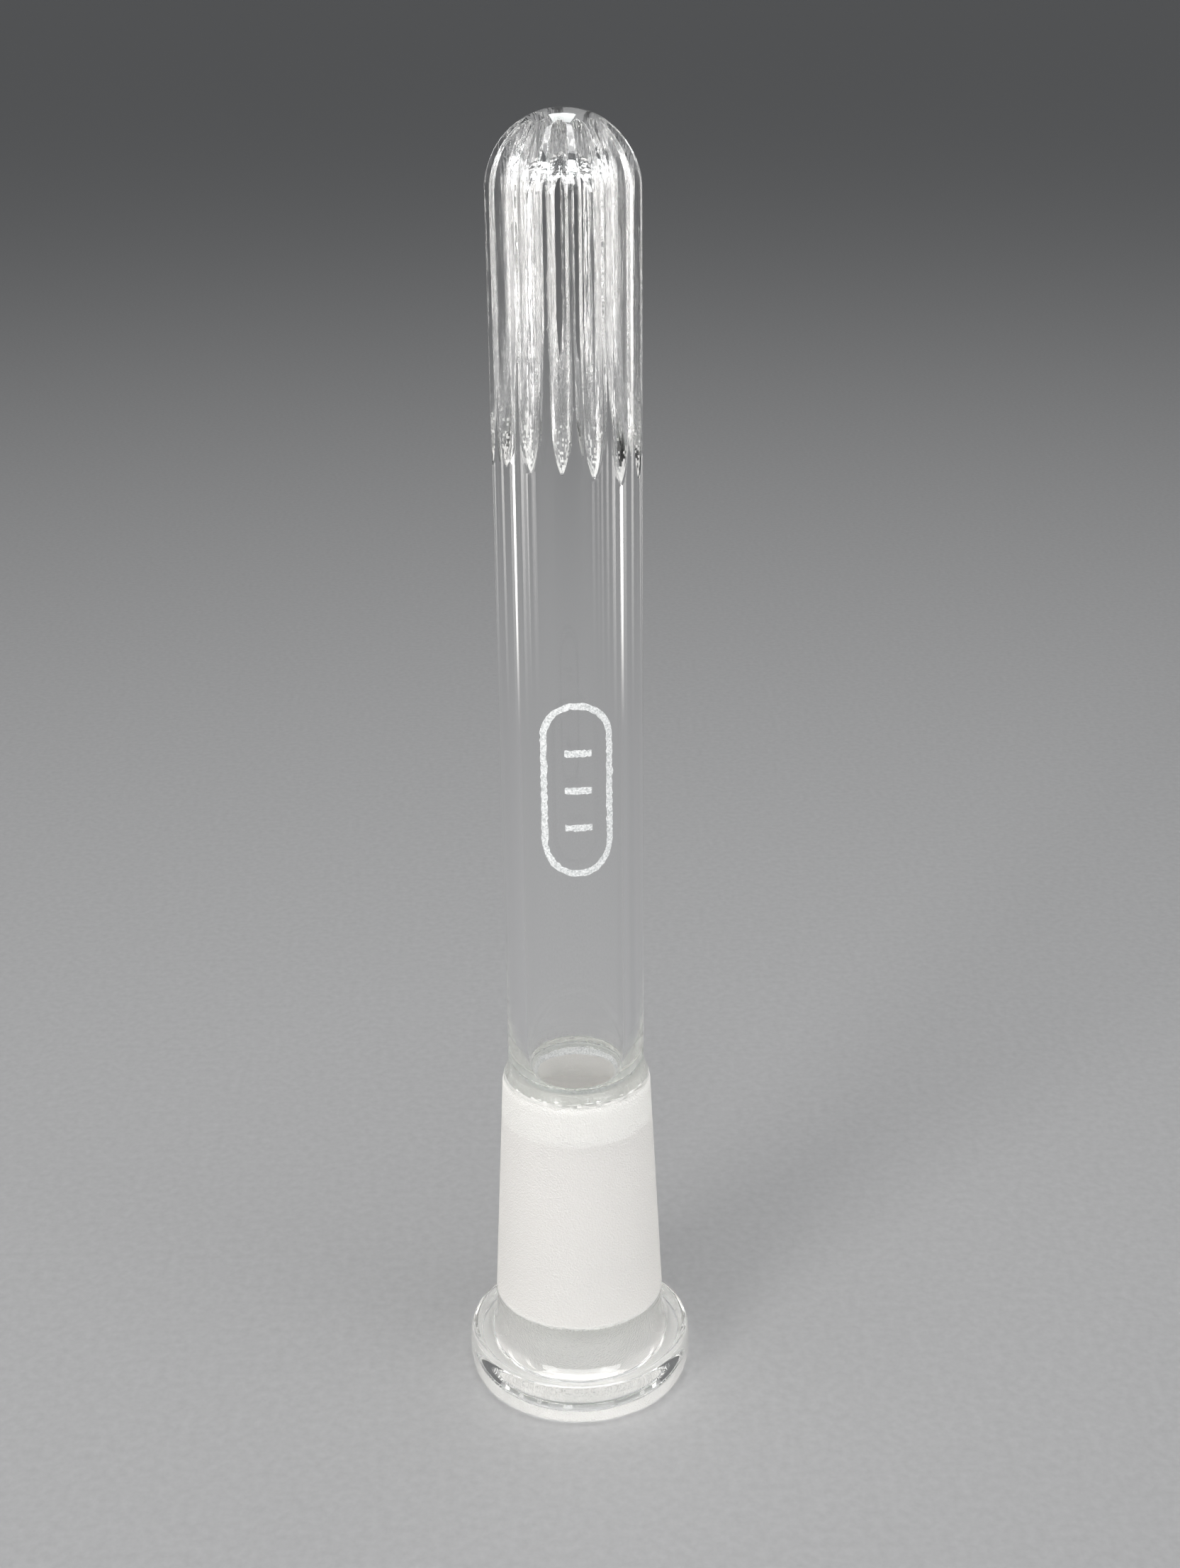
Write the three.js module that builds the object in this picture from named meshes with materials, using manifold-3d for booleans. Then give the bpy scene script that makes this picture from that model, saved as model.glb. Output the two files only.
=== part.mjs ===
// Slit diffuser tube in clear borosilicate glass, with a ground cone outside its joint and a
// ground socket inside it. Millimetres, +Z up along the tube. The origin is the centre of the
// flat face of the flange, on which the tube stands.
import * as THREE from "three";
import { mergeVertices } from "three/addons/utils/BufferGeometryUtils.js";
import Module from "manifold-3d";

// Both grindings taper 1 in 10 on diameter, so the radius loses 1 mm in 20 mm of length.
const TAPER = 1 / 20;

// Outer cone, size 19/26: 18.8 mm wide end, ground over 26 mm.
const CONE_WIDE_RADIUS = 9.4;
const CONE_LENGTH = 26;
const CONE_BOTTOM = 10.9;
const CONE_TOP = CONE_BOTTOM + CONE_LENGTH;
const CONE_NARROW_RADIUS = CONE_WIDE_RADIUS - CONE_LENGTH * TAPER;

// Inner socket, size 14/23: 14.5 mm mouth, ground over 23 mm.
const SOCKET_MOUTH_RADIUS = 7.25;
const SOCKET_LENGTH = 23;
const SOCKET_BOTTOM = 0.8;
const SOCKET_TOP = SOCKET_BOTTOM + SOCKET_LENGTH;
const SOCKET_THROAT_RADIUS = SOCKET_MOUTH_RADIUS - SOCKET_LENGTH * TAPER;
const MOUTH_CHAMFER = 0.5;

// Flange on the wide end of the joint.
const FLANGE_RADIUS = 12.6;
const FLANGE_EDGE_HEIGHT = 3;
const FLANGE_FLAT_RADIUS = 11.5;
const RIM_RADIUS = 12.3;
const RIM_HEIGHT = 5.1;
const DISH_RADIUS = 11.3;
const DISH_DEPTH = 0.35;
const FILLET_TOP = 8;

// Stem: one length of tube, closed to a half ball at its far end. The bore ends in a flatter
// dome, because the glass gathers and gets thicker where the end is melted shut.
const TUBE_RADIUS = 7.4;
const BORE_RADIUS = 5.25;
const TOTAL_HEIGHT = 138.6;
const DOME_BOTTOM = TOTAL_HEIGHT - TUBE_RADIUS;
const BORE_DOME = 3.2;

// Seal of the stem to the joint: a bead of glass that runs in to a reamed hole, which opens to
// the bore with a chamfer.
const HOLE_RADIUS = 4.6;
const BEAD_BOTTOM = 33;
const HOLE_TOP = 38;
const CHAMFER_TOP = 38.7;
const SHOULDER_TOP = 38.9;
const SEAL_TOP = 44;

// Slits, cut by a wheel whose worn edge is a blunt point, so a slit is narrower where it breaks
// through than at the outside. The first one stands just round from +X. Each fades out at both
// ends along the wheel's own arc.
const SLITS = 15;
const FIRST_SLIT = THREE.MathUtils.degToRad(2);
const SLIT_STEP = (2 * Math.PI) / SLITS;
const SLIT_HALF_WIDTH = 0.9;
const OPENING_HALF_WIDTH = 0.45;
const SLIT_TIP = 105;
const WHEEL_RADIUS = 50;
const EDGE_HEIGHT = 1.37;
const POINT_HEIGHT = 0.54;
const CROWN_TURN = THREE.MathUtils.degToRad(15);
const CLEARANCE = 0.6;

// Facets round the axis, a whole number between one slit and the next.
const FACETS = 4 * SLITS;
const CURVE_POINTS = 4;
const EDGE_POINTS = 2;
const SLIT_STEPS = 24;

// The share of the wheel's edge that stays inside the wall, and how far the rest reaches in.
const EDGE_SHARE = Math.sqrt(1 - OPENING_HALF_WIDTH / SLIT_HALF_WIDTH);
const POINT_REACH = EDGE_HEIGHT * (1 - EDGE_SHARE) ** 2
  + 2 * POINT_HEIGHT * EDGE_SHARE * (1 - EDGE_SHARE);
const FLOOR_RADIUS = Math.sqrt(BORE_RADIUS ** 2 - OPENING_HALF_WIDTH ** 2) - POINT_REACH;

// The wheel's centre when its edge is at the slit's floor, and the height where that begins.
const WHEEL_CENTRE = FLOOR_RADIUS + WHEEL_RADIUS;
const RIB_BOTTOM = SLIT_TIP + Math.sqrt(WHEEL_RADIUS ** 2 - (WHEEL_CENTRE - TUBE_RADIUS) ** 2);

const wasm = await Module();
wasm.setup();

const clearGlass = new THREE.MeshStandardMaterial({ color: 0xdfe6e2, roughness: 0.03, metalness: 0 });
const groundGlass = new THREE.MeshStandardMaterial({ color: 0xe9eae8, roughness: 0.55, metalness: 0 });

function socketRadius(height) {
  return SOCKET_MOUTH_RADIUS - (height - SOCKET_BOTTOM) * TAPER;
}

// Turns an outline in radius and height about Z. It runs up outside and down inside.
function turned(outline) {
  return new THREE.LatheGeometry(outline.getPoints(CURVE_POINTS), FACETS).rotateX(Math.PI / 2);
}

// A tube wall with square ends.
function tubeOutline(bottom, top) {
  const outline = new THREE.Path();
  outline.moveTo(BORE_RADIUS, bottom);
  outline.lineTo(TUBE_RADIUS, bottom);
  outline.lineTo(TUBE_RADIUS, top);
  outline.lineTo(BORE_RADIUS, top);
  outline.lineTo(BORE_RADIUS, bottom);
  return outline;
}

// The flange: flat underneath, rounded at its edge, dished on top, with a fillet to the neck.
function flangeOutline() {
  const outline = new THREE.Path();
  const dishHeight = RIM_HEIGHT - DISH_DEPTH;
  outline.moveTo(SOCKET_MOUTH_RADIUS + MOUTH_CHAMFER, 0);
  outline.lineTo(FLANGE_FLAT_RADIUS, 0);
  outline.quadraticCurveTo(FLANGE_RADIUS, 0, FLANGE_RADIUS, FLANGE_EDGE_HEIGHT);
  outline.quadraticCurveTo(FLANGE_RADIUS, RIM_HEIGHT - 0.4, RIM_RADIUS, RIM_HEIGHT);
  outline.quadraticCurveTo(RIM_RADIUS - 0.5, RIM_HEIGHT + 0.2, DISH_RADIUS, dishHeight);
  outline.quadraticCurveTo(CONE_WIDE_RADIUS + 0.1, dishHeight, CONE_WIDE_RADIUS, FILLET_TOP);
  outline.lineTo(socketRadius(FILLET_TOP), FILLET_TOP);
  outline.lineTo(SOCKET_MOUTH_RADIUS, SOCKET_BOTTOM);
  outline.lineTo(SOCKET_MOUTH_RADIUS + MOUTH_CHAMFER, 0);
  return outline;
}

// The joint: a clear neck and the ground cone outside, the ground socket and the bead inside.
function jointOutline() {
  const outline = new THREE.Path();
  outline.moveTo(socketRadius(FILLET_TOP), FILLET_TOP);
  outline.lineTo(CONE_WIDE_RADIUS, FILLET_TOP);
  outline.lineTo(CONE_WIDE_RADIUS, CONE_BOTTOM);
  outline.lineTo(CONE_NARROW_RADIUS, CONE_TOP);
  outline.lineTo(HOLE_RADIUS, CONE_TOP);
  outline.quadraticCurveTo(HOLE_RADIUS, BEAD_BOTTOM + 1.5, SOCKET_THROAT_RADIUS, BEAD_BOTTOM);
  outline.lineTo(SOCKET_THROAT_RADIUS, SOCKET_TOP);
  outline.lineTo(socketRadius(FILLET_TOP), FILLET_TOP);
  return outline;
}

// The seal: a rounded shoulder outside, the reamed hole and its chamfer inside.
function sealOutline() {
  const outline = new THREE.Path();
  outline.moveTo(HOLE_RADIUS, CONE_TOP);
  outline.lineTo(CONE_NARROW_RADIUS, CONE_TOP);
  outline.quadraticCurveTo(CONE_NARROW_RADIUS, SHOULDER_TOP - 1, TUBE_RADIUS, SHOULDER_TOP);
  outline.lineTo(TUBE_RADIUS, SEAL_TOP);
  outline.lineTo(BORE_RADIUS, SEAL_TOP);
  outline.lineTo(BORE_RADIUS, CHAMFER_TOP);
  outline.lineTo(HOLE_RADIUS, HOLE_TOP);
  outline.lineTo(HOLE_RADIUS, CONE_TOP);
  return outline;
}

// The crown: a half ball outside, and the bore's flatter dome inside.
function crownOutline() {
  const outline = new THREE.Path();
  outline.moveTo(0, DOME_BOTTOM + BORE_DOME);
  outline.absellipse(0, DOME_BOTTOM, BORE_RADIUS, BORE_DOME, Math.PI / 2, 0, true);
  outline.lineTo(TUBE_RADIUS, DOME_BOTTOM);
  outline.absarc(0, DOME_BOTTOM, TUBE_RADIUS, 0, Math.PI / 2, false);
  return outline;
}

// The floor of a slit, seen from the side: in through the wall along the wheel's arc, straight
// up, round the crown, and out again along the wheel's arc short of the uncut cap.
function slitFloor() {
  const entry = Math.acos((WHEEL_CENTRE - TUBE_RADIUS - CLEARANCE) / WHEEL_RADIUS);
  const exit = Math.acos((WHEEL_CENTRE ** 2 + WHEEL_RADIUS ** 2 - (TUBE_RADIUS + CLEARANCE) ** 2)
    / (2 * WHEEL_CENTRE * WHEEL_RADIUS));
  const exitX = WHEEL_CENTRE * Math.cos(CROWN_TURN);
  const exitZ = DOME_BOTTOM + WHEEL_CENTRE * Math.sin(CROWN_TURN);
  const start = Math.PI + CROWN_TURN;
  const floor = new THREE.Path();
  floor.absarc(WHEEL_CENTRE, RIB_BOTTOM, WHEEL_RADIUS, Math.PI + entry, Math.PI, true);
  floor.lineTo(FLOOR_RADIUS, DOME_BOTTOM);
  floor.absarc(0, DOME_BOTTOM, FLOOR_RADIUS, 0, CROWN_TURN, false);
  floor.absarc(exitX, exitZ, WHEEL_RADIUS, start, start - exit, true);
  return floor;
}

// What one pass of the wheel takes away: its blunt edge, swept along the floor.
function wheelCut(slit) {
  const top = TUBE_RADIUS - FLOOR_RADIUS + CLEARANCE;
  const edge = new THREE.Shape();
  edge.moveTo(-SLIT_HALF_WIDTH, EDGE_HEIGHT);
  edge.quadraticCurveTo(-SLIT_HALF_WIDTH, POINT_HEIGHT, 0, 0);
  edge.quadraticCurveTo(SLIT_HALF_WIDTH, POINT_HEIGHT, SLIT_HALF_WIDTH, EDGE_HEIGHT);
  edge.lineTo(SLIT_HALF_WIDTH, top);
  edge.lineTo(-SLIT_HALF_WIDTH, top);
  edge.closePath();
  const points = slitFloor().getSpacedPoints(2 * SLIT_STEPS);
  const path = new THREE.CatmullRomCurve3(points.map(({ x, y }) => new THREE.Vector3(x, 0, y)));
  return new THREE.ExtrudeGeometry(edge, {
    steps: SLIT_STEPS,
    extrudePath: path,
    curveSegments: EDGE_POINTS,
  }).rotateZ(FIRST_SLIT + slit * SLIT_STEP);
}

// The strip of wall between two slits. Its sides follow the wheel's edge as far as the bore.
function ribGeometry() {
  const outer = Math.asin(SLIT_HALF_WIDTH / TUBE_RADIUS);
  const inner = Math.asin(OPENING_HALF_WIDTH / BORE_RADIUS);
  const edgeRadius = FLOOR_RADIUS + EDGE_HEIGHT;
  const bend = edgeRadius - EDGE_SHARE * (EDGE_HEIGHT - POINT_HEIGHT);
  const first = new THREE.Vector2(edgeRadius, SLIT_HALF_WIDTH);
  const firstBend = new THREE.Vector2(bend, SLIT_HALF_WIDTH);
  const centre = new THREE.Vector2();
  const second = new THREE.Vector2(edgeRadius, -SLIT_HALF_WIDTH).rotateAround(centre, SLIT_STEP);
  const secondBend = new THREE.Vector2(bend, -SLIT_HALF_WIDTH).rotateAround(centre, SLIT_STEP);
  const opening = new THREE.Vector2(BORE_RADIUS, 0);
  opening.rotateAround(centre, SLIT_STEP - inner);
  const section = new THREE.Shape();
  section.absarc(0, 0, TUBE_RADIUS, outer, SLIT_STEP - outer, false);
  section.lineTo(second.x, second.y);
  section.quadraticCurveTo(secondBend.x, secondBend.y, opening.x, opening.y);
  section.absarc(0, 0, BORE_RADIUS, SLIT_STEP - inner, inner, true);
  section.quadraticCurveTo(firstBend.x, firstBend.y, first.x, first.y);
  section.closePath();
  return new THREE.ExtrudeGeometry(section, {
    depth: DOME_BOTTOM - RIB_BOTTOM,
    bevelEnabled: false,
    curveSegments: EDGE_POINTS,
  }).translate(0, 0, RIB_BOTTOM);
}

// A closed geometry as a solid, without the empty triangles that a pole leaves.
function toSolid(geometry) {
  geometry.deleteAttribute("normal");
  geometry.deleteAttribute("uv");
  const merged = mergeVertices(geometry);
  const corners = merged.index.array;
  const kept = [];
  for (let i = 0; i < corners.length; i += 3) {
    const [a, b, c] = corners.slice(i, i + 3);
    if (a !== b && b !== c && c !== a) kept.push(a, b, c);
  }
  const vertProperties = new Float32Array(merged.attributes.position.array);
  const triVerts = new Uint32Array(kept);
  return new wasm.Manifold(new wasm.Mesh({ numProp: 3, vertProperties, triVerts }));
}

function toGeometry(solid) {
  const mesh = solid.getMesh();
  const geometry = new THREE.BufferGeometry();
  geometry.setAttribute("position", new THREE.BufferAttribute(mesh.vertProperties, 3));
  geometry.setIndex(new THREE.BufferAttribute(mesh.triVerts, 1));
  geometry.computeVertexNormals();
  return geometry;
}

// A turned piece with every slit cut into it.
function slitted(outline) {
  let solid = toSolid(turned(outline));
  for (let slit = 0; slit < SLITS; slit += 1) {
    solid = solid.subtract(toSolid(wheelCut(slit)));
  }
  return toGeometry(solid);
}

const group = new THREE.Group();

function addPiece(name, geometry, material) {
  const piece = new THREE.Mesh(geometry, material);
  piece.name = name;
  group.add(piece);
  return piece;
}

function addRibs() {
  const geometry = ribGeometry();
  for (let rib = 0; rib < SLITS; rib += 1) {
    const name = `diffuser_rib_${String(rib + 1).padStart(2, "0")}`;
    addPiece(name, geometry, clearGlass).rotation.z = FIRST_SLIT + rib * SLIT_STEP;
  }
}

addPiece("foot_flange", turned(flangeOutline()), clearGlass);
addPiece("joint_cone", turned(jointOutline()), groundGlass);
addPiece("seal_ring", turned(sealOutline()), clearGlass);
addPiece("stem_tube", slitted(tubeOutline(SEAL_TOP, RIB_BOTTOM)), clearGlass);
addRibs();
addPiece("crown_dome", slitted(crownOutline()), clearGlass);

export default group;
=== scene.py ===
"""The looks of the ground-joint diffuser tube: clear glass, ground zones and cut slits."""

import math
from collections import namedtuple

import bpy
import numpy as np
from mathutils import Matrix, Vector


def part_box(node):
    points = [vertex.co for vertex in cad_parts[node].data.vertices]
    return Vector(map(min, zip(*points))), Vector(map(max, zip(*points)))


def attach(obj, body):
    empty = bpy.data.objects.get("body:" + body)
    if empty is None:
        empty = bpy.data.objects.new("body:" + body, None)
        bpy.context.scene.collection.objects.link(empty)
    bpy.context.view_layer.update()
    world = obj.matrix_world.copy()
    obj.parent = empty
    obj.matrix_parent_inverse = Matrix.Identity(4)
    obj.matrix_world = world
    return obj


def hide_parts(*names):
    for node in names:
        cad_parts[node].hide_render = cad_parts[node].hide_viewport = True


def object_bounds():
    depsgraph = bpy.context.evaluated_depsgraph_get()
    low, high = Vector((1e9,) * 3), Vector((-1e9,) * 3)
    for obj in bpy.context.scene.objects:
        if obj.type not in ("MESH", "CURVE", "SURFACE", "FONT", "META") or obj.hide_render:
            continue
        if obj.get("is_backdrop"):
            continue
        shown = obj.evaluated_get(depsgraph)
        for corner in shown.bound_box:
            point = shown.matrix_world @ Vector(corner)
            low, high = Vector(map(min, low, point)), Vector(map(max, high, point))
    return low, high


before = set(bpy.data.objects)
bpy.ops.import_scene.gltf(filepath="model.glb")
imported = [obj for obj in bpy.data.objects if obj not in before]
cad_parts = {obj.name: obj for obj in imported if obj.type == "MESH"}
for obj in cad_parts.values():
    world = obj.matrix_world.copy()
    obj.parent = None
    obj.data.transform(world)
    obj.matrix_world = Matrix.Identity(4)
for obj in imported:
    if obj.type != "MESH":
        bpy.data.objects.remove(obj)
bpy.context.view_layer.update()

MM = 0.001

# Points are merged on a grid of this many steps per millimetre, and edges this steep stay sharp.
MERGE_STEPS = 2e4
SHARP_ANGLE = math.radians(50)

# Sizes from the parts in model.glb, in millimetres.
flange_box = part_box("foot_flange")
joint_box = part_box("joint_cone")
seal_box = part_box("seal_ring")
stem_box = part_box("stem_tube")
crown_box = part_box("crown_dome")
FLANGE_RADIUS = flange_box[1].x / MM
FILLET_TOP = flange_box[1].z / MM
CONE_RADIUS = joint_box[1].x / MM
CONE_TOP = joint_box[1].z / MM
NARROW_RADIUS = seal_box[1].x / MM
TUBE_RADIUS = stem_box[1].x / MM
TOTAL_HEIGHT = crown_box[1].z / MM
DOME_BOTTOM = TOTAL_HEIGHT - TUBE_RADIUS

# Sizes that no box gives, in millimetres.
BORE_RADIUS = 5.25
BORE_DOME = 3.2
HOLE_RADIUS = 4.6
HOLE_TOP = 38.0
BEAD_BOTTOM = 33.0
SHOULDER_TOP = 38.9
CONE_BOTTOM = 10.9
GROUND_TOP = 37.5
SOCKET_MOUTH = 7.25
SOCKET_THROAT = 6.1
SOCKET_BOTTOM = 0.8
SOCKET_TOP = 23.8
SEAM = 33.0
GAP = 0.004
NECK_FADE = 1.15
SHOULDER_FADE = 1.2
RIM_STEP = 0.32
MOUTH_CHAMFER = 0.45
FLAT_RADIUS = 11.5
WIDEST_HEIGHT = 3.0
EDGE_RADIUS = 12.3
EDGE_TOP = 5.1
DISH_RADIUS = 11.3
DISH_HEIGHT = 4.75

# How far a face is ground, 0 for polished, 2 for matt and 3 for chipped, where a material takes over.
GROUND_FROM = 1.03
GROUND_SPREAD = 0.9
WHITE_FROM = 2.5

# The wheel that cut the slits.
SLITS = 15
FIRST_SLIT = math.radians(2)
WHEEL_RADIUS = 50.0
WHEEL_EDGE = 0.9
WHEEL_POINT = 0.6
FLOOR_RADIUS = 4.9
SLIT_TIP = 105.0
CROWN_TURN = math.radians(15)
WIDEST_SHARE = 0.64
WHEEL_CENTRE = FLOOR_RADIUS + WHEEL_RADIUS
RUN_OUT = math.sqrt(WHEEL_RADIUS**2 - (WHEEL_CENTRE - TUBE_RADIUS) ** 2)
POINT_ROUNDING = 0.12
IDLE_WIDTH = 0.12
UNCUT = TUBE_RADIUS + 5

rng = np.random.default_rng(15)


def smooth_noise(count, spacing, size):
    """A random curve of count points that wanders by about size over spacing points."""
    knots = rng.normal(0, size, int(count / spacing) + 3)
    return np.interp(np.arange(count) / spacing, np.arange(len(knots)), knots)


def curve(start, control, end, points):
    """Points of a quadratic curve, without its start."""
    t = np.linspace(0, 1, points + 1)[1:, None]
    start, control, end = np.array([start, control, end], float)
    return (1 - t) ** 2 * start + 2 * t * (1 - t) * control + t**2 * end


def line(start, end, points):
    """Points of a straight line, without its start."""
    t = np.linspace(0, 1, points + 1)[1:, None]
    return np.array(start, float) * (1 - t) + np.array(end, float) * t


def socket_radius(z):
    return SOCKET_MOUTH - (z - SOCKET_BOTTOM) / 20


def make_object(name, places, faces, grind, materials):
    """A smooth-shaded mesh object in metres, with how far each point is ground."""
    places = np.asarray(places, float)
    keys = np.round(places * MERGE_STEPS).astype(np.int64)
    _, first, same = np.unique(keys, axis=0, return_index=True, return_inverse=True)
    same = same.reshape(-1)
    kept = []
    for face in faces:
        corners = []
        for corner in same[list(face)]:
            if not corners or corner != corners[-1]:
                corners.append(int(corner))
        if corners[0] == corners[-1]:
            corners.pop()
        if len(corners) >= 3 and len(set(corners)) == len(corners):
            kept.append(corners)
    mesh = bpy.data.meshes.new(name)
    mesh.from_pydata([tuple(p) for p in places[first] * MM], [], kept)
    mesh.validate()
    layer = mesh.attributes.new("grind", "FLOAT", "POINT")
    layer.data.foreach_set("value", np.asarray(grind, np.float32)[first])
    mesh.shade_smooth()
    mesh.set_sharp_from_angle(angle=SHARP_ANGLE)
    for material in materials:
        mesh.materials.append(material)
    if len(materials) > 1:
        # Chance decides which faces are still matt where a ground zone fades out.
        depth = np.asarray(grind, float)[first]
        draw = rng.random(len(kept))
        means = [float(np.mean(depth[face])) for face in kept]
        chosen = [2 if m > WHITE_FROM else int(m > GROUND_FROM + GROUND_SPREAD * d)
                  for m, d in zip(means, draw)]
        mesh.polygons.foreach_set("material_index", chosen)
    made = bpy.data.objects.new(name, mesh)
    bpy.context.scene.collection.objects.link(made)
    return made


def turned_piece(name, outline, grind, materials, facets=180):
    """A closed outline in radius and height, turned about Z."""
    outline = np.asarray(outline, float)
    angles = np.linspace(0, 2 * math.pi, facets, endpoint=False)
    places = np.empty((facets, len(outline), 3))
    places[:, :, 0] = np.cos(angles)[:, None] * outline[:, 0]
    places[:, :, 1] = np.sin(angles)[:, None] * outline[:, 0]
    places[:, :, 2] = outline[:, 1]
    count = len(outline)
    faces = []
    for a in range(facets):
        b = (a + 1) % facets
        for i in range(count):
            j = (i + 1) % count
            faces.append((a * count + i, b * count + i, b * count + j, a * count + j))
    return make_object(name, places.reshape(-1, 3), faces, np.tile(grind, facets), materials)


# ---------------------------------------------------------------- materials


def node(tree, kind, **settings):
    made = tree.nodes.new(kind)
    for key, value in settings.items():
        if key in made.inputs:
            made.inputs[key].default_value = value
        else:
            setattr(made, key, value)
    return made


def glass_material(name, transmission, colour):
    """Glass that is polished, cut or ground, as the mesh says: grind is 0, 1 or 2, or 3 if chipped."""
    made = bpy.data.materials.new(name)
    made.use_nodes = True
    tree = made.node_tree
    link = tree.links.new
    shader = tree.nodes["Principled BSDF"]
    shader.inputs["Transmission Weight"].default_value = transmission
    shader.inputs["IOR"].default_value = 1.474
    shader.inputs["Base Color"].default_value = (*colour, 1)

    place = tree.nodes.new("ShaderNodeTexCoord")
    grind = node(tree, "ShaderNodeAttribute", attribute_name="grind")

    grain = node(tree, "ShaderNodeTexNoise", Scale=5200, Detail=3, Roughness=0.6)
    link(place.outputs["Object"], grain.inputs["Vector"])
    cloud = node(tree, "ShaderNodeTexNoise", Scale=210, Detail=4, Roughness=0.6)
    link(place.outputs["Object"], cloud.inputs["Vector"])
    along = node(tree, "ShaderNodeMapping")
    along.inputs["Scale"].default_value = (2100, 2100, 90)
    link(place.outputs["Object"], along.inputs["Vector"])
    streak = node(tree, "ShaderNodeTexNoise", Scale=1, Detail=3, Roughness=0.55)
    link(along.outputs["Vector"], streak.inputs["Vector"])

    # How much of the surface is ground, with a grainy edge to each zone.
    push = node(tree, "ShaderNodeMath", operation="MULTIPLY_ADD")
    link(grain.outputs["Fac"], push.inputs[0])
    push.inputs[1].default_value = 0.5
    link(grind.outputs["Fac"], push.inputs[2])
    share = node(tree, "ShaderNodeMapRange", interpolation_type="SMOOTHSTEP")
    share.inputs["From Min"].default_value = 0.45
    share.inputs["From Max"].default_value = 0.95
    link(push.outputs[0], share.inputs["Value"])
    coarse = node(tree, "ShaderNodeMapRange")
    coarse.inputs["From Min"].default_value = 1
    coarse.inputs["From Max"].default_value = 2
    link(grind.outputs["Fac"], coarse.inputs["Value"])

    # Polished glass isn't quite clean: a faint haze, in patches.
    haze = node(tree, "ShaderNodeMapRange")
    haze.inputs["From Min"].default_value = 0.5
    haze.inputs["From Max"].default_value = 0.8
    haze.inputs["To Min"].default_value = 0.0
    haze.inputs["To Max"].default_value = 0.03
    link(cloud.outputs["Fac"], haze.inputs["Value"])
    cut = node(tree, "ShaderNodeMapRange")
    cut.inputs["From Min"].default_value = 0.3
    cut.inputs["From Max"].default_value = 0.7
    cut.inputs["To Min"].default_value = 0.02
    cut.inputs["To Max"].default_value = 0.1
    link(streak.outputs["Fac"], cut.inputs["Value"])
    matt = node(tree, "ShaderNodeMix", data_type="FLOAT")
    link(coarse.outputs["Result"], matt.inputs[0])
    link(cut.outputs["Result"], matt.inputs[2])
    matt.inputs[3].default_value = 0.78
    rough = node(tree, "ShaderNodeMix", data_type="FLOAT")
    link(share.outputs["Result"], rough.inputs[0])
    link(haze.outputs["Result"], rough.inputs[2])
    link(matt.outputs[0], rough.inputs[3])
    link(rough.outputs[0], shader.inputs["Roughness"])

    # Saw marks along the cuts, grains where the grinding is coarse.
    relief = node(tree, "ShaderNodeMix", data_type="FLOAT")
    link(coarse.outputs["Result"], relief.inputs[0])
    link(streak.outputs["Fac"], relief.inputs[2])
    link(grain.outputs["Fac"], relief.inputs[3])
    height = node(tree, "ShaderNodeMath", operation="MULTIPLY")
    link(relief.outputs[0], height.inputs[0])
    link(share.outputs["Result"], height.inputs[1])
    bump = node(tree, "ShaderNodeBump", Strength=0.8, Distance=0.00014)
    link(height.outputs[0], bump.inputs["Height"])
    link(bump.outputs["Normal"], shader.inputs["Normal"])

    tint = node(tree, "ShaderNodeVolumeAbsorption", Density=0.8)
    tint.inputs["Color"].default_value = (0.7, 0.9, 0.83, 1)
    link(tint.outputs[0], tree.nodes["Material Output"].inputs["Volume"])
    return made


def mark_material():
    made = bpy.data.materials.new("etched_white")
    made.use_nodes = True
    tree = made.node_tree
    link = tree.links.new
    shader = tree.nodes["Principled BSDF"]
    shader.inputs["Transmission Weight"].default_value = 0.2
    shader.inputs["IOR"].default_value = 1.474
    place = tree.nodes.new("ShaderNodeTexCoord")
    grain = node(tree, "ShaderNodeTexNoise", Scale=5200, Detail=2, Roughness=0.7)
    link(place.outputs["Object"], grain.inputs["Vector"])
    tone = node(tree, "ShaderNodeValToRGB")
    tone.color_ramp.elements[0].position = 0.35
    tone.color_ramp.elements[0].color = (0.55, 0.57, 0.57, 1)
    tone.color_ramp.elements[1].position = 0.62
    tone.color_ramp.elements[1].color = (0.97, 0.98, 0.98, 1)
    link(grain.outputs["Fac"], tone.inputs["Fac"])
    link(tone.outputs["Color"], shader.inputs["Base Color"])
    rough = node(tree, "ShaderNodeMapRange")
    rough.inputs["To Min"].default_value = 0.7
    rough.inputs["To Max"].default_value = 0.95
    link(grain.outputs["Fac"], rough.inputs["Value"])
    link(rough.outputs["Result"], shader.inputs["Roughness"])
    bump = node(tree, "ShaderNodeBump", Strength=0.5, Distance=0.00005)
    link(grain.outputs["Fac"], bump.inputs["Height"])
    link(bump.outputs["Normal"], shader.inputs["Normal"])
    return made


clear_glass = glass_material("clear_glass", 1.0, (1, 1, 1))
white_glass = mark_material()
ground_glass = glass_material("ground_glass", 0.5, (0.965, 0.95, 0.93))

# ---------------------------------------------------------------- foot and ground joint

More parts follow.
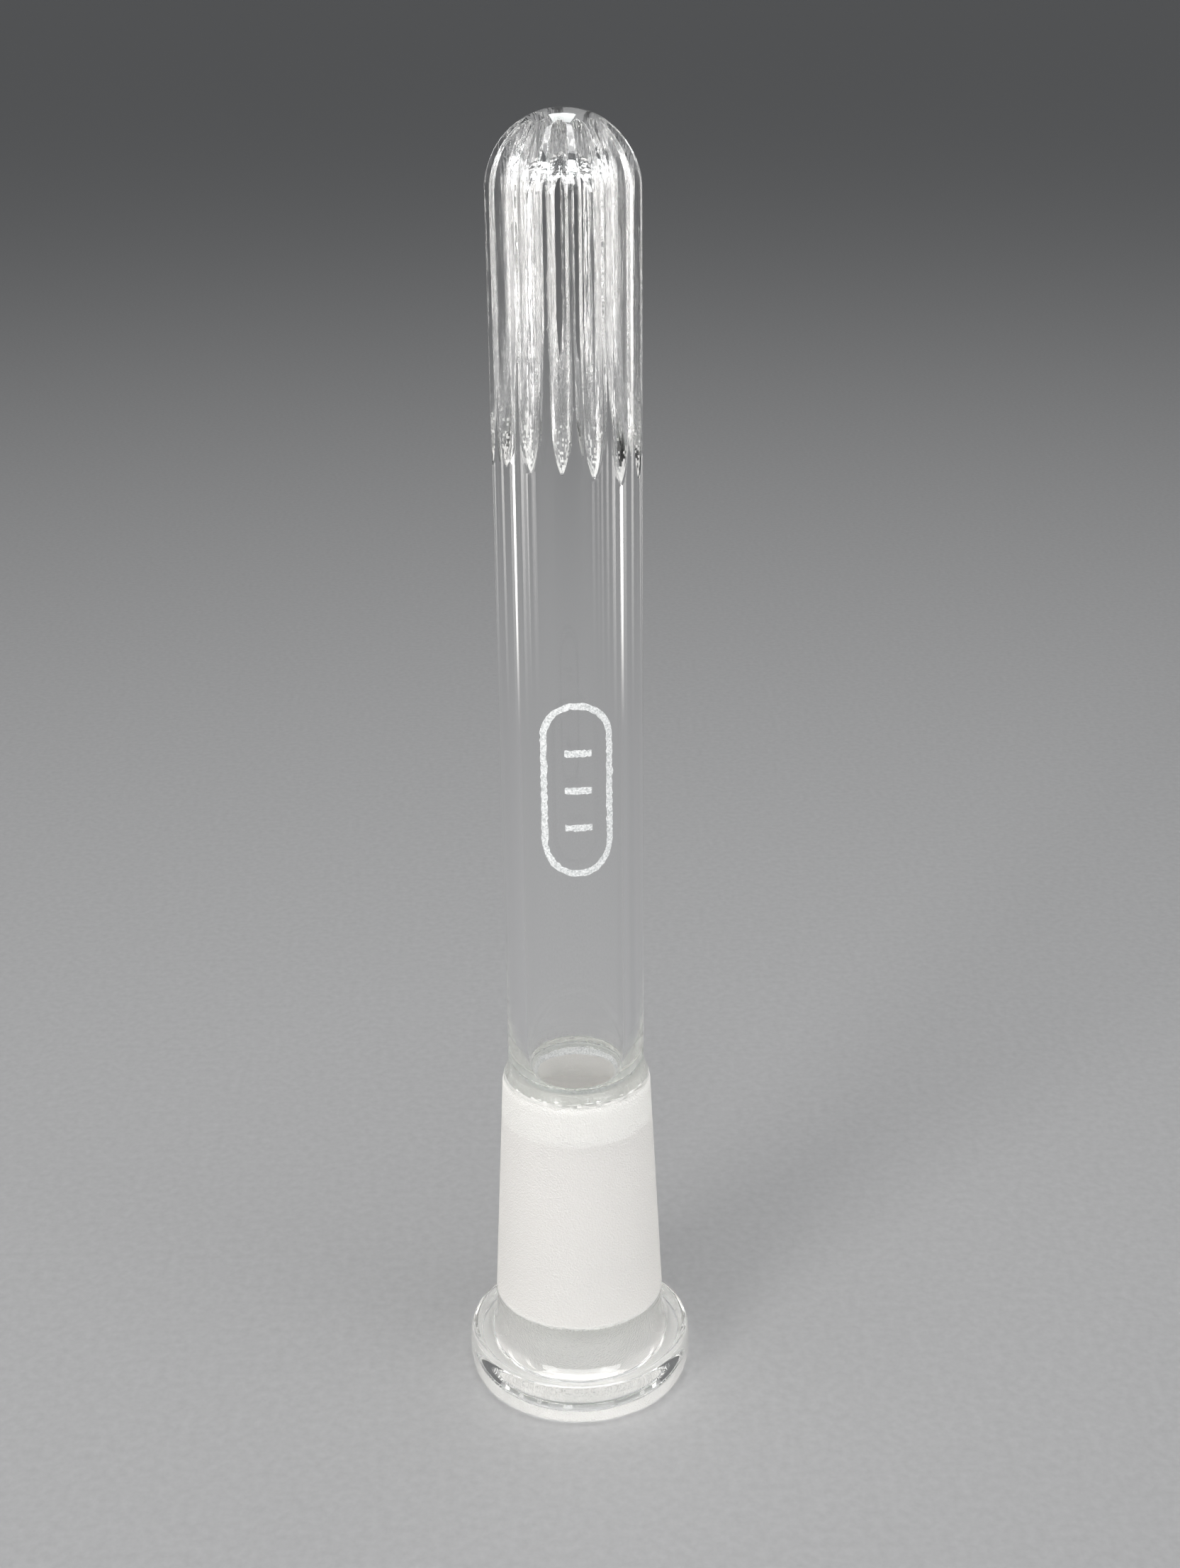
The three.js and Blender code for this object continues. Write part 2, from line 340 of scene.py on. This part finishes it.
foot = np.vstack([
    [[SOCKET_MOUTH + MOUTH_CHAMFER, 0.0]],
    line((SOCKET_MOUTH + MOUTH_CHAMFER, 0), (FLAT_RADIUS, 0), 6),
    curve((FLAT_RADIUS, 0), (FLANGE_RADIUS, 0.05), (FLANGE_RADIUS, WIDEST_HEIGHT), 14),
    curve((FLANGE_RADIUS, WIDEST_HEIGHT), (FLANGE_RADIUS, 4.7), (EDGE_RADIUS, EDGE_TOP), 8),
    curve((EDGE_RADIUS, EDGE_TOP), (11.8, 5.3), (DISH_RADIUS, DISH_HEIGHT), 8),
    curve((DISH_RADIUS, DISH_HEIGHT), (9.5, DISH_HEIGHT), (CONE_RADIUS, FILLET_TOP), 24),
    line((CONE_RADIUS, FILLET_TOP), (CONE_RADIUS, CONE_BOTTOM), 32),
    line((CONE_RADIUS, CONE_BOTTOM), (socket_radius(CONE_BOTTOM), CONE_BOTTOM), 5),
    line((socket_radius(CONE_BOTTOM), CONE_BOTTOM), (SOCKET_MOUTH, SOCKET_BOTTOM), 16),
    line((SOCKET_MOUTH, SOCKET_BOTTOM), (SOCKET_MOUTH + MOUTH_CHAMFER, 0.0), 3)[:-1],
])
inside = (foot[:, 0] < SOCKET_MOUTH + 0.02) & (foot[:, 1] > 0.5)
seam = foot[:, 1] > CONE_BOTTOM - 0.1
fading = np.interp(foot[:, 1], [CONE_BOTTOM - NECK_FADE, CONE_BOTTOM], [0.3, 1.9])
neck = (foot[:, 0] > CONE_RADIUS - 0.01) & (foot[:, 1] > CONE_BOTTOM - NECK_FADE)
base = foot[:, 1] < 0.01
foot_grind = np.where(inside | seam | base, 2.0, np.where(neck, fading, 0.0))
foot_piece = turned_piece("foot_flange_glass", foot, foot_grind, [clear_glass, ground_glass], 300)

slope = (CONE_RADIUS - NARROW_RADIUS) / (CONE_TOP - CONE_BOTTOM)
seam_radius = CONE_RADIUS - (SEAM - CONE_BOTTOM) * slope
low = CONE_BOTTOM + GAP
high = SEAM - GAP
joint = np.vstack([
    [[socket_radius(low), low]],
    line((socket_radius(low), low), (CONE_RADIUS, low), 5),
    line((CONE_RADIUS, low), (seam_radius, high), 50),
    line((seam_radius, high), (SOCKET_THROAT, high), 5),
    line((SOCKET_THROAT, high), (SOCKET_THROAT, SOCKET_TOP), 12),
    line((SOCKET_THROAT, SOCKET_TOP), (socket_radius(low), low), 24)[:-1],
])
joint_grind = np.full(len(joint), 2.0)
joint_piece = turned_piece("ground_joint_glass", joint, joint_grind, [clear_glass, ground_glass])

# ---------------------------------------------------------------- diffuser tube

# Points on half a slit's section, on the land between two slits, and on the bore behind it.
HALF = 10
LAND = 6
BORE_LAND = 5


def wheel_floor(s, lift):
    """How far from the centre line a slit's floor is, at height or, on the crown, at angle s."""
    if s[0] == "height":
        below = max(0.0, SLIT_TIP + RUN_OUT + lift - s[1])
        if below >= WHEEL_RADIUS:
            return UNCUT
        return WHEEL_CENTRE - math.sqrt(WHEEL_RADIUS**2 - below**2)

    past = max(0.0, s[1] - CROWN_TURN)
    across = WHEEL_CENTRE * math.sin(past)
    if across >= WHEEL_RADIUS:
        return UNCUT
    return WHEEL_CENTRE * math.cos(past) - math.sqrt(WHEEL_RADIUS**2 - across**2)


def bore_reach(angle):
    """How far the bore's end is from the dome's centre, at that angle above the level."""
    return 1 / math.hypot(math.cos(angle) / BORE_RADIUS, math.sin(angle) / BORE_DOME)


def edge_rise(x):
    """How far the wheel's edge stands back from its point, at x across: a blunt V that rounds off."""
    blunt = math.sqrt(x * x + POINT_ROUNDING**2) - POINT_ROUNDING
    return WHEEL_POINT * blunt + WHEEL_EDGE - math.sqrt(max(0.0, WHEEL_EDGE**2 - x * x))


def reach_across(floor, radius):
    """Half the width at which the wheel's edge meets a surface of that radius."""
    low, high = 0.0, WHEEL_EDGE
    for _ in range(22):
        middle = (low + high) / 2
        if floor + edge_rise(middle) < math.sqrt(radius**2 - middle**2):
            low = middle
        else:
            high = middle
    return low


def groove_half(floor, limit, bevel, bore):
    """Half a slit's section, from the land down to the floor or to the bore, and the bore's edge."""
    depth = TUBE_RADIUS - floor
    if depth <= 0.002:
        width = min(IDLE_WIDTH, limit)
        x = np.linspace(width * 1.3, 0, HALF)
        return np.stack([x, np.sqrt(TUBE_RADIUS**2 - x**2)], 1), 0.0
    width = min(reach_across(floor, TUBE_RADIUS), limit)
    opening = reach_across(floor, bore) if floor < bore else 0.0
    edge = math.sqrt(TUBE_RADIUS**2 - width**2)
    bevel = min(bevel, 0.35 * depth, 0.35 * width)
    x = np.linspace(width, opening, 25)
    q = np.array([floor + edge_rise(v) for v in x])
    wall = max(0.0, edge - bevel - q[0])
    run = np.concatenate([[0.0], np.cumsum(np.hypot(np.diff(x), np.diff(q)))])
    t = np.linspace(0, wall + run[-1], HALF - 2)
    sunk = t < wall
    across = np.where(sunk, width, np.interp(t - wall, run, x))
    height = np.where(sunk, edge - bevel - t, np.interp(t - wall, run, q))
    if not wall:
        height[0] = min(height[0], edge - bevel)
    across[-1], height[-1] = opening, floor
    if opening:
        height[-1] = math.sqrt(bore**2 - opening**2)
    points = [(width + bevel, math.sqrt(TUBE_RADIUS**2 - (width + bevel) ** 2)),
              (width + 0.29 * bevel, edge - 0.29 * bevel), *zip(across, height)]
    return np.array(points), opening


def between(first, second, radius, centre, count):
    """Points on the surface between two of its points, ends left out."""
    a = (first - centre) / radius
    b = (second - centre) / radius
    angle = math.acos(max(-1.0, min(1.0, float(a @ b))))
    t = np.linspace(0, 1, count + 2)[1:-1, None]
    if angle < 1e-6:
        mixed = a * (1 - t) + b * t
    else:
        mixed = (np.sin((1 - t) * angle) * a + np.sin(t * angle) * b) / math.sin(angle)
    return centre + mixed * radius


SLIT_ANGLES = FIRST_SLIT + np.arange(SLITS) * 2 * math.pi / SLITS
# The cuts were made by hand, so their lower ends don't quite line up.
LIFT = 0.3
LIFT_SWING = 0.8
LIFT_SCATTER = 0.12
facing = SLIT_ANGLES + math.pi / 2
lifts = LIFT + LIFT_SWING * np.sin(1.5 * facing - math.radians(15))
lifts = lifts + rng.normal(0, LIFT_SCATTER, SLITS)

# Rows of points: close together along the run-out, then up the tube and over the crown.
rows = [("height", z) for z in np.arange(SLIT_TIP - 1.2, SLIT_TIP + 14.5, 0.24)]
rows += [("height", z) for z in np.linspace(rows[-1][1], DOME_BOTTOM, 32)[1:]]
rows += [("angle", a) for a in np.radians(np.arange(1.5, 37, 1.5))]
through_rows = len(rows)
rows += [("angle", a) for a in np.radians(np.arange(37.2, 67, 1.2))]
rows += [("angle", a) for a in np.radians([69, 72, 75, 78, 81, 84, 87, 89])]

# How far each slit's two edges are rounded, and how uneven its floor is, with a few chips.
EDGE_ROUNDING = 0.07
EDGE_CHIP = 0.13
EDGE_CHIP_SHARE = 0.07
FLOOR_CHIP = 0.05
FLOOR_CHIP_SHARE = 0.05
edge_wear = np.stack([
    EDGE_ROUNDING + np.clip(smooth_noise(len(rows), 2.5, 0.022), -0.03, 0.1)
    for _ in range(2 * SLITS)
])
chips = rng.random(edge_wear.shape)
edge_wear = np.where(chips > 1 - EDGE_CHIP_SHARE, edge_wear + EDGE_CHIP, edge_wear)
floor_wear = np.stack([smooth_noise(len(rows), 1.6, 0.011) for _ in range(2 * SLITS)])
floor_chips = rng.random(floor_wear.shape)
floor_wear = np.where(floor_chips > 1 - FLOOR_CHIP_SHARE, floor_wear - FLOOR_CHIP, floor_wear)


# One side of a slit at a row: its points, half the opening into the bore, the depth of the cut,
# and the opening's corner.
Side = namedtuple("Side", "points opening depth corner")


def slit_rings(index):
    """The outer ring and the bore's ring at a row, with how far each outer point is ground."""
    s = rows[index]
    if s[0] == "height":
        centre = np.array([0.0, 0.0, s[1]])
        out, up = 1.0, 0.0
        bore_radius = BORE_RADIUS
    else:
        centre = np.array([0.0, 0.0, DOME_BOTTOM])
        out, up = math.cos(s[1]), math.sin(s[1])
        bore_radius = bore_reach(s[1])
    limit = WIDEST_SHARE * TUBE_RADIUS * out * math.tan(math.pi / SLITS)
    outer, bore, ground = [], [], []
    sections = []
    for k, angle in enumerate(SLIT_ANGLES):
        across = np.array([-math.sin(angle), math.cos(angle), 0.0])
        away = np.array([out * math.cos(angle), out * math.sin(angle), up])
        floor = wheel_floor(s, lifts[k])
        sides = []
        for side, sign in enumerate((-1, 1)):
            worn = floor
            if floor < bore_radius:
                worn = min(floor + floor_wear[2 * k + side, index], bore_radius - 0.002)
            section, opening = groove_half(worn, limit, edge_wear[2 * k + side, index], bore_radius)
            points = centre + sign * section[:, :1] * across + section[:, 1:] * away
            corner = (centre + sign * opening * across
                      + math.sqrt(bore_radius**2 - opening**2) * away)
            sides.append(Side(points, opening, TUBE_RADIUS - floor, corner))
        sections.append(sides)

    for k in range(SLITS):
        left, right = sections[k]
        following = sections[(k + 1) % SLITS][0]
        outer += [left.points, right.points[::-1]]
        cut = 1.0 if left.depth > 0.01 else 0.0
        rise = s[1] - SLIT_TIP - lifts[k] if s[0] == "height" else 99.0
        coarse = 1.0 + 1.9 * math.exp(-max(0.0, rise) / 1.7)
        wall_share = np.linspace(1, 0.35, HALF - 2)
        half_ground = np.array([0.0, 0.8, *(1.0 + (coarse - 1.0) * wall_share)]) * cut
        ground += [half_ground, half_ground[::-1], np.zeros(LAND)]
        outer.append(between(right.points[0], following.points[0], TUBE_RADIUS, centre, LAND))
        bore += [left.corner[None], right.corner[None]]
        bore.append(between(right.corner, following.corner, bore_radius, centre, BORE_LAND))
    open_slits = np.array([sides[0].opening > 0 for sides in sections])
    return np.vstack(outer), np.vstack(bore), np.concatenate(ground), open_slits


places, ground, faces = [], [], []


def add(points, grind):
    first = sum(len(p) for p in places)
    places.append(points)
    ground.append(grind)
    return np.arange(first, first + len(points))


PER_SLIT = 2 * HALF + LAND
BORE_PER_SLIT = 2 + BORE_LAND
slit_indices = np.arange(SLITS)
outer_skip = set(slit_indices * PER_SLIT + HALF - 1)
bore_skip = set(slit_indices * BORE_PER_SLIT)


def join(lower, upper, skip=(), flip=False):
    count = len(lower)
    for i in range(count):
        if i in skip:
            continue
        j = (i + 1) % count
        face = (lower[i], lower[j], upper[j], upper[i])
        faces.append(face[::-1] if flip else face)


outer_rings, bore_rings, open_rows = [], [], []
for index in range(len(rows)):
    outer, bore, cut, open_slits = slit_rings(index)
    outer_rings.append(add(outer, cut))
    if index <= through_rows:
        bore_rings.append(add(bore, np.zeros(len(bore))))
    open_rows.append(open_slits)

for index in range(len(rows) - 1):
    join(outer_rings[index], outer_rings[index + 1], outer_skip)
for index in range(through_rows):
    join(bore_rings[index], bore_rings[index + 1], bore_skip, flip=True)
    for k in range(SLITS):
        lower, upper = open_rows[index][k], open_rows[index + 1][k]
        if lower == upper:
            continue
        left_low = outer_rings[index][k * PER_SLIT + HALF - 1]
        right_low = outer_rings[index][k * PER_SLIT + HALF]
        left_high = outer_rings[index + 1][k * PER_SLIT + HALF - 1]
        right_high = outer_rings[index + 1][k * PER_SLIT + HALF]
        bore_low = bore_rings[index][k * BORE_PER_SLIT]
        bore_high = bore_rings[index + 1][k * BORE_PER_SLIT]
        if upper:
            faces.append((left_low, bore_low, left_high))
            faces.append((left_low, right_high, bore_low))
        else:
            faces.append((left_high, left_low, bore_high))
            faces.append((left_high, bore_high, right_low))

# The crown's end, outside and inside.
pole = add(np.array([[0.0, 0.0, TOTAL_HEIGHT]]), np.zeros(1))[0]
for i, a in enumerate(outer_rings[-1]):
    faces.append((a, outer_rings[-1][(i + 1) % len(outer_rings[-1])], pole))

last_angle = rows[through_rows][1]
template = slit_rings(through_rows)[1]
flat = template[:, :2] / np.linalg.norm(template[:, :2], axis=1)[:, None]
for angle in np.linspace(last_angle, math.radians(88), 12)[1:]:
    ring = np.column_stack([
        flat * bore_reach(angle) * math.cos(angle),
        np.full(len(flat), DOME_BOTTOM + bore_reach(angle) * math.sin(angle)),
    ])
    bore_rings.append(add(ring, np.zeros(len(ring))))
    join(bore_rings[-2], bore_rings[-1], flip=True)
inner_pole = add(np.array([[0.0, 0.0, DOME_BOTTOM + BORE_DOME]]), np.zeros(1))[0]
for i, a in enumerate(bore_rings[-1]):
    faces.append((bore_rings[-1][(i + 1) % len(bore_rings[-1])], a, inner_pole))

# Below the slits: stem and seal, outside and inside.
stem_top = rows[0][1]
outer_flat = places[0][:, :2] / np.linalg.norm(places[0][:, :2], axis=1)[:, None]
bore_flat = places[1][:, :2] / np.linalg.norm(places[1][:, :2], axis=1)[:, None]
outside = np.vstack([
    [[seam_radius, SEAM]],
    line((seam_radius, SEAM), (NARROW_RADIUS + 0.01, CONE_TOP), 6),
    line((NARROW_RADIUS + 0.01, CONE_TOP), (NARROW_RADIUS - 0.13, GROUND_TOP), 2),
    curve((NARROW_RADIUS - 0.13, GROUND_TOP), (NARROW_RADIUS - 0.1, SHOULDER_TOP - 1.1),
          (TUBE_RADIUS, SHOULDER_TOP), 18),
    line((TUBE_RADIUS, SHOULDER_TOP), (TUBE_RADIUS, stem_top), 14)[:-1],
])
within = np.vstack([
    [[SOCKET_THROAT, SEAM]],
    curve((SOCKET_THROAT, SEAM), (HOLE_RADIUS, BEAD_BOTTOM + 1.5), (HOLE_RADIUS, CONE_TOP - 0.6), 9),
    line((HOLE_RADIUS, CONE_TOP - 0.6), (HOLE_RADIUS, HOLE_TOP - RIM_STEP), 4),
    line((HOLE_RADIUS, HOLE_TOP - RIM_STEP), (HOLE_RADIUS + RIM_STEP, HOLE_TOP + RIM_STEP), 3),
    curve((HOLE_RADIUS + RIM_STEP, HOLE_TOP + RIM_STEP), (BORE_RADIUS, HOLE_TOP + 0.7),
          (BORE_RADIUS, HOLE_TOP + 2.2), 8),
    line((BORE_RADIUS, HOLE_TOP + 2.2), (BORE_RADIUS, stem_top), 12)[:-1],
])


def lower_rings(profile, directions, kind, upper_ring, flip):
    rings = []
    for radius, z in profile:
        reach = np.full(len(directions), radius)
        height = np.full(len(directions), z)
        if kind == "outside":
            level = 2.0 if z < GROUND_TOP + 0.01 else np.interp(
                z, [GROUND_TOP, GROUND_TOP + SHOULDER_FADE, GROUND_TOP + SHOULDER_FADE + 0.4],
                [1.75, 0.5, 0])
            grind = np.full(len(directions), level)
        else:
            on_rim = HOLE_TOP - RIM_STEP - 0.01 < z < HOLE_TOP + RIM_STEP + 0.01
            grind = np.full(len(directions), 3.0 if on_rim else 2.0 if z < HOLE_TOP else 0.0)
            if on_rim and z > HOLE_TOP - RIM_STEP + 0.01:
                share = (z - HOLE_TOP + RIM_STEP) / (2 * RIM_STEP)
                height = height + rim_wear * share
                reach = reach + np.abs(rim_wear) * share
        rings.append(add(np.column_stack([directions * reach[:, None], height]), grind))
    for lower, upper in zip(rings, rings[1:] + [upper_ring]):
        join(lower, upper, flip=flip)
    return rings


rim_wear = np.clip(smooth_noise(len(bore_flat), 1.3, 0.07), -0.14, 0.14)
outer_low = lower_rings(outside, outer_flat, "outside", outer_rings[0], False)
bore_low = lower_rings(within, bore_flat, "within", bore_rings[0], True)

# The seam's face, between two rings with different numbers of points.
ring_a, ring_b = outer_low[0], bore_low[0]
angle_a = np.unwrap(np.arctan2(outer_flat[:, 1], outer_flat[:, 0]))
angle_b = np.unwrap(np.arctan2(bore_flat[:, 1], bore_flat[:, 0]))
angle_b = angle_b - 2 * math.pi * np.round((angle_b[0] - angle_a[0]) / (2 * math.pi))
angle_a = np.append(angle_a, angle_a[0] + 2 * math.pi)
angle_b = np.append(angle_b, angle_b[0] + 2 * math.pi)
i = j = 0
while i < len(ring_a) or j < len(ring_b):
    a, b = ring_a[i % len(ring_a)], ring_b[j % len(ring_b)]
    if j >= len(ring_b) or (i < len(ring_a) and angle_a[i + 1] <= angle_b[j + 1]):
        faces.append((a, b, ring_a[(i + 1) % len(ring_a)]))
        i += 1
    else:
        faces.append((a, b, ring_b[(j + 1) % len(ring_b)]))
        j += 1

tube_piece = make_object("diffuser_tube_glass", np.vstack(places), faces, np.concatenate(ground),
                         [clear_glass, ground_glass, white_glass])

# ---------------------------------------------------------------- etched mark

# A plain marking panel, frosted into the stem's front: an outline with three short bars.
# Its ends are half circles, so that MARK_CORNER is also half its width.
MARK_TURN = math.radians(4)
MARK_LOW = 64.6
MARK_HIGH = 82.6
MARK_CORNER = 3.4
BARS = 3
BAR_HALF = 1.5
BAR_MARGIN = 5
STROKE = 0.7
STROKE_WEAR = 0.045
MARK_OUTSIDE = TUBE_RADIUS + 0.02
MARK_INSIDE = TUBE_RADIUS + 0.006


def ribbon(path, closed, width, collect):
    """A flat band along a path on the stem, path in arc length and height."""
    path = np.asarray(path, float)
    count = len(path)
    if closed:
        ahead = np.roll(path, -1, 0) - np.roll(path, 1, 0)
    else:
        ahead = np.gradient(path, axis=0)
    ahead /= np.linalg.norm(ahead, axis=1)[:, None]
    side = np.column_stack([-ahead[:, 1], ahead[:, 0]])
    left = path + side * (width / 2 + rng.normal(0, STROKE_WEAR, (count, 1)))
    right = path - side * (width / 2 + rng.normal(0, STROKE_WEAR, (count, 1)))
    first = len(collect[0])
    for reach in (MARK_OUTSIDE, MARK_INSIDE):
        for edge in (left, right):
            angle = -math.pi / 2 + MARK_TURN + edge[:, 0] / TUBE_RADIUS
            collect[0].extend(np.column_stack([reach * np.cos(angle), reach * np.sin(angle),
                                               edge[:, 1]]))
    lo, ro, li, ri = (first + k * count for k in range(4))
    steps = range(count) if closed else range(count - 1)
    for a in steps:
        b = (a + 1) % count
        collect[1].extend([(lo + a, ro + a, ro + b, lo + b), (ri + a, li + a, li + b, ri + b),
                           (lo + a, lo + b, li + b, li + a), (ro + b, ro + a, ri + a, ri + b)])
    if not closed:
        z = count - 1
        collect[1].extend([(ro, lo, li, ri), (lo + z, ro + z, ri + z, li + z)])


half_turn = np.linspace(0, math.pi, 26)
bend = MARK_CORNER * np.column_stack([np.cos(half_turn), np.sin(half_turn)])
upper_arc = bend + [0, MARK_HIGH - MARK_CORNER]
lower_arc = [0, MARK_LOW + MARK_CORNER] - bend
left_side = line(upper_arc[-1], lower_arc[0], 34)[:-1]
right_side = line(lower_arc[-1], upper_arc[0], 34)[:-1]
collected = ([], [])
ribbon(np.vstack([upper_arc, left_side, lower_arc, right_side]), True, STROKE, collected)
for height in np.linspace(MARK_LOW + BAR_MARGIN, MARK_HIGH - BAR_MARGIN, BARS):
    ribbon(line((-BAR_HALF, height), (BAR_HALF, height), 12), False, STROKE, collected)
mark_piece = make_object("etched_mark", np.array(collected[0]), collected[1],
                         np.ones(len(collected[0])), [white_glass])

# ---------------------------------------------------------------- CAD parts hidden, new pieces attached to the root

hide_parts("foot_flange")
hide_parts("joint_cone")
ribs = [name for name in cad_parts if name.startswith("diffuser_rib_")]
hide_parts("seal_ring", "stem_tube", "crown_dome", *ribs)
for piece, finish in ((foot_piece, "clear_glass"), (joint_piece, "ground_glass"),
                      (tube_piece, "clear_glass"), (mark_piece, "ground_glass")):
    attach(piece, "root")

# ---------------------------------------------------------------- floor, light, camera


def floor_material():
    made = bpy.data.materials.new("pale_floor")
    made.use_nodes = True
    tree = made.node_tree
    link = tree.links.new
    shader = tree.nodes["Principled BSDF"]
    shader.inputs["Roughness"].default_value = 0.7
    shader.inputs["Specular IOR Level"].default_value = 0.25
    place = tree.nodes.new("ShaderNodeTexCoord")
    grain = node(tree, "ShaderNodeTexNoise", Scale=900, Detail=4, Roughness=0.6)
    link(place.outputs["Object"], grain.inputs["Vector"])
    tone = node(tree, "ShaderNodeValToRGB")
    tone.color_ramp.elements[0].position = 0.3
    tone.color_ramp.elements[0].color = (0.5, 0.5, 0.505, 1)
    tone.color_ramp.elements[1].position = 0.7
    tone.color_ramp.elements[1].color = (0.56, 0.56, 0.565, 1)
    link(grain.outputs["Fac"], tone.inputs["Fac"])
    link(tone.outputs["Color"], shader.inputs["Base Color"])
    return made


REACH = 60.0
BELOW_THE_FOOT = 0.00002
floor_mesh = bpy.data.meshes.new("floor")
floor_mesh.from_pydata([(-REACH, -REACH, 0), (REACH, -REACH, 0), (REACH, REACH, 0), (-REACH, REACH, 0)],
                       [], [(0, 1, 2, 3)])
floor_mesh.materials.append(floor_material())
floor = bpy.data.objects.new("floor", floor_mesh)
bpy.context.scene.collection.objects.link(floor)
floor.location.z = -BELOW_THE_FOOT
floor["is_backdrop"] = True

SURROUND = 0.15
world = bpy.data.worlds.new("studio")
bpy.context.scene.world = world
world.use_nodes = True
world.node_tree.nodes["Background"].inputs["Color"].default_value = (0.95, 0.975, 1.0, 1)
world.node_tree.nodes["Background"].inputs["Strength"].default_value = SURROUND

glass_only = bpy.data.collections.new("glass_only")
for piece in (foot_piece, joint_piece, tube_piece, mark_piece):
    glass_only.objects.link(piece)
foot_only = bpy.data.collections.new("foot_only")
foot_only.objects.link(foot_piece)


def softbox(name, place, target, width, height, radiance, colour=(1, 1, 1), lit=glass_only, fade=0):
    """A soft rectangular lamp for the pieces in lit, or for everything if lit is None.

    Fade is how much of its height, from one end, it takes to reach full strength.
    """
    lamp = bpy.data.lights.new(name, "AREA")
    lamp.shape = "RECTANGLE"
    lamp.size, lamp.size_y = width, height
    lamp.energy = radiance * math.pi * width * height
    lamp.color = colour
    made = bpy.data.objects.new(name, lamp)
    bpy.context.scene.collection.objects.link(made)
    made.location = place
    made.rotation_euler = (Vector(target) - Vector(place)).to_track_quat("-Z", "Y").to_euler()
    if lit:
        made.light_linking.receiver_collection = lit
    if fade:
        lamp.use_nodes = True
        tree = lamp.node_tree
        surface = tree.nodes.new("ShaderNodeNewGeometry")
        parts = tree.nodes.new("ShaderNodeSeparateXYZ")
        tree.links.new(surface.outputs["Parametric"], parts.inputs[0])
        ramp = node(tree, "ShaderNodeMapRange", interpolation_type="SMOOTHSTEP")
        ramp.inputs["From Min"].default_value = 0.05
        ramp.inputs["From Max"].default_value = fade
        tree.links.new(parts.outputs["Y"], ramp.inputs["Value"])
        tree.links.new(ramp.outputs["Result"], tree.nodes["Emission"].inputs["Strength"])
    return made


softbox("overhead", (0.05, -0.1, 0.7), (0, 0, 0), 0.45, 0.45, 4.6, lit=None)
softbox("key", (-0.38, -0.48, 0.3), (0, 0, 0.06), 0.2, 0.3, 7.0, (1.0, 0.99, 0.97), lit=None)
softbox("top", (0.0, -0.06, 0.55), (0, 0, 0.1), 0.4, 0.4, 7)
softbox("window", (-0.12, -0.3, 0.5), (0, 0, 0.08), 0.1, 0.16, 11)
softbox("front", (0.32, -0.42, 0.3), (0, 0, 0.06), 0.25, 0.25, 6)
softbox("rim", (0.0, 0.25, 0.5), (0, 0, 0.13), 0.13, 0.2, 8, (0.95, 1.0, 0.98))
# Narrow strips beside the tube, so that the slits show light and dark lines in turn.
for name, x, y in (("right_back", 0.19, 0.09), ("right", 0.2, 0.02), ("left_back", -0.19, 0.09),
                   ("left", -0.2, 0.01), ("left_front", -0.2, -0.09)):
    softbox(name, (x, y, 0.11), (0, 0, 0.11), 0.024, 0.24, 7, (1.0, 0.98, 0.95), fade=0.5)
# For the flange alone: a sky that is only mirrored, a lamp from above and one at each side.
sky = softbox("foot_sky", (0.0, -0.3, 0.45), (0, 0, 0), 0.7, 0.8, 6, (1.0, 0.99, 0.97), lit=foot_only)
sky.visible_diffuse = False
sky.visible_transmission = False
softbox("foot_top", (0.0, -0.35, 0.5), (0, 0, 0), 0.8, 0.14, 4, lit=foot_only)
softbox("foot_left", (-0.4, 0.0, 0.1), (0, 0, 0.01), 0.5, 0.2, 1.3, (1.0, 0.98, 0.95), lit=foot_only)
softbox("foot_right", (0.4, 0.0, 0.1), (0, 0, 0.01), 0.5, 0.2, 1.3, (1.0, 0.98, 0.95), lit=foot_only)

# The camera. Its lens and sensor are in millimetres, its place in metres.
LENS = 48.45
SENSOR = 36
CAMERA_PLACE = (0, -0.203903, 0.151472)
PITCH = math.radians(21.4235)
YAW = math.radians(0.5245)
ROLL = math.radians(-0.6537)
camera_data = bpy.data.cameras.new("camera")
camera_data.sensor_width = SENSOR
camera_data.lens = LENS
camera_data.clip_start = 0.01
camera_data.clip_end = 50
camera = bpy.data.objects.new("camera", camera_data)
bpy.context.scene.collection.objects.link(camera)
forward = Vector((math.sin(YAW) * math.cos(PITCH), math.cos(YAW) * math.cos(PITCH), -math.sin(PITCH)))
level = forward.cross(Vector((0, 0, 1))).normalized()
rise = level.cross(forward)
right = level * math.cos(ROLL) + rise * math.sin(ROLL)
up = rise * math.cos(ROLL) - level * math.sin(ROLL)
turn = Matrix((right, up, -forward)).transposed()
camera.matrix_world = Matrix.Translation(CAMERA_PLACE) @ turn.to_4x4()
scene = bpy.context.scene
scene.camera = camera

scene.view_settings.view_transform = "Standard"
scene.cycles.max_bounces = 26
scene.cycles.transmission_bounces = 26
scene.cycles.glossy_bounces = 12
scene.cycles.diffuse_bounces = 4
scene.cycles.sample_clamp_indirect = 8
scene.cycles.use_denoising = True

low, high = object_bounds()
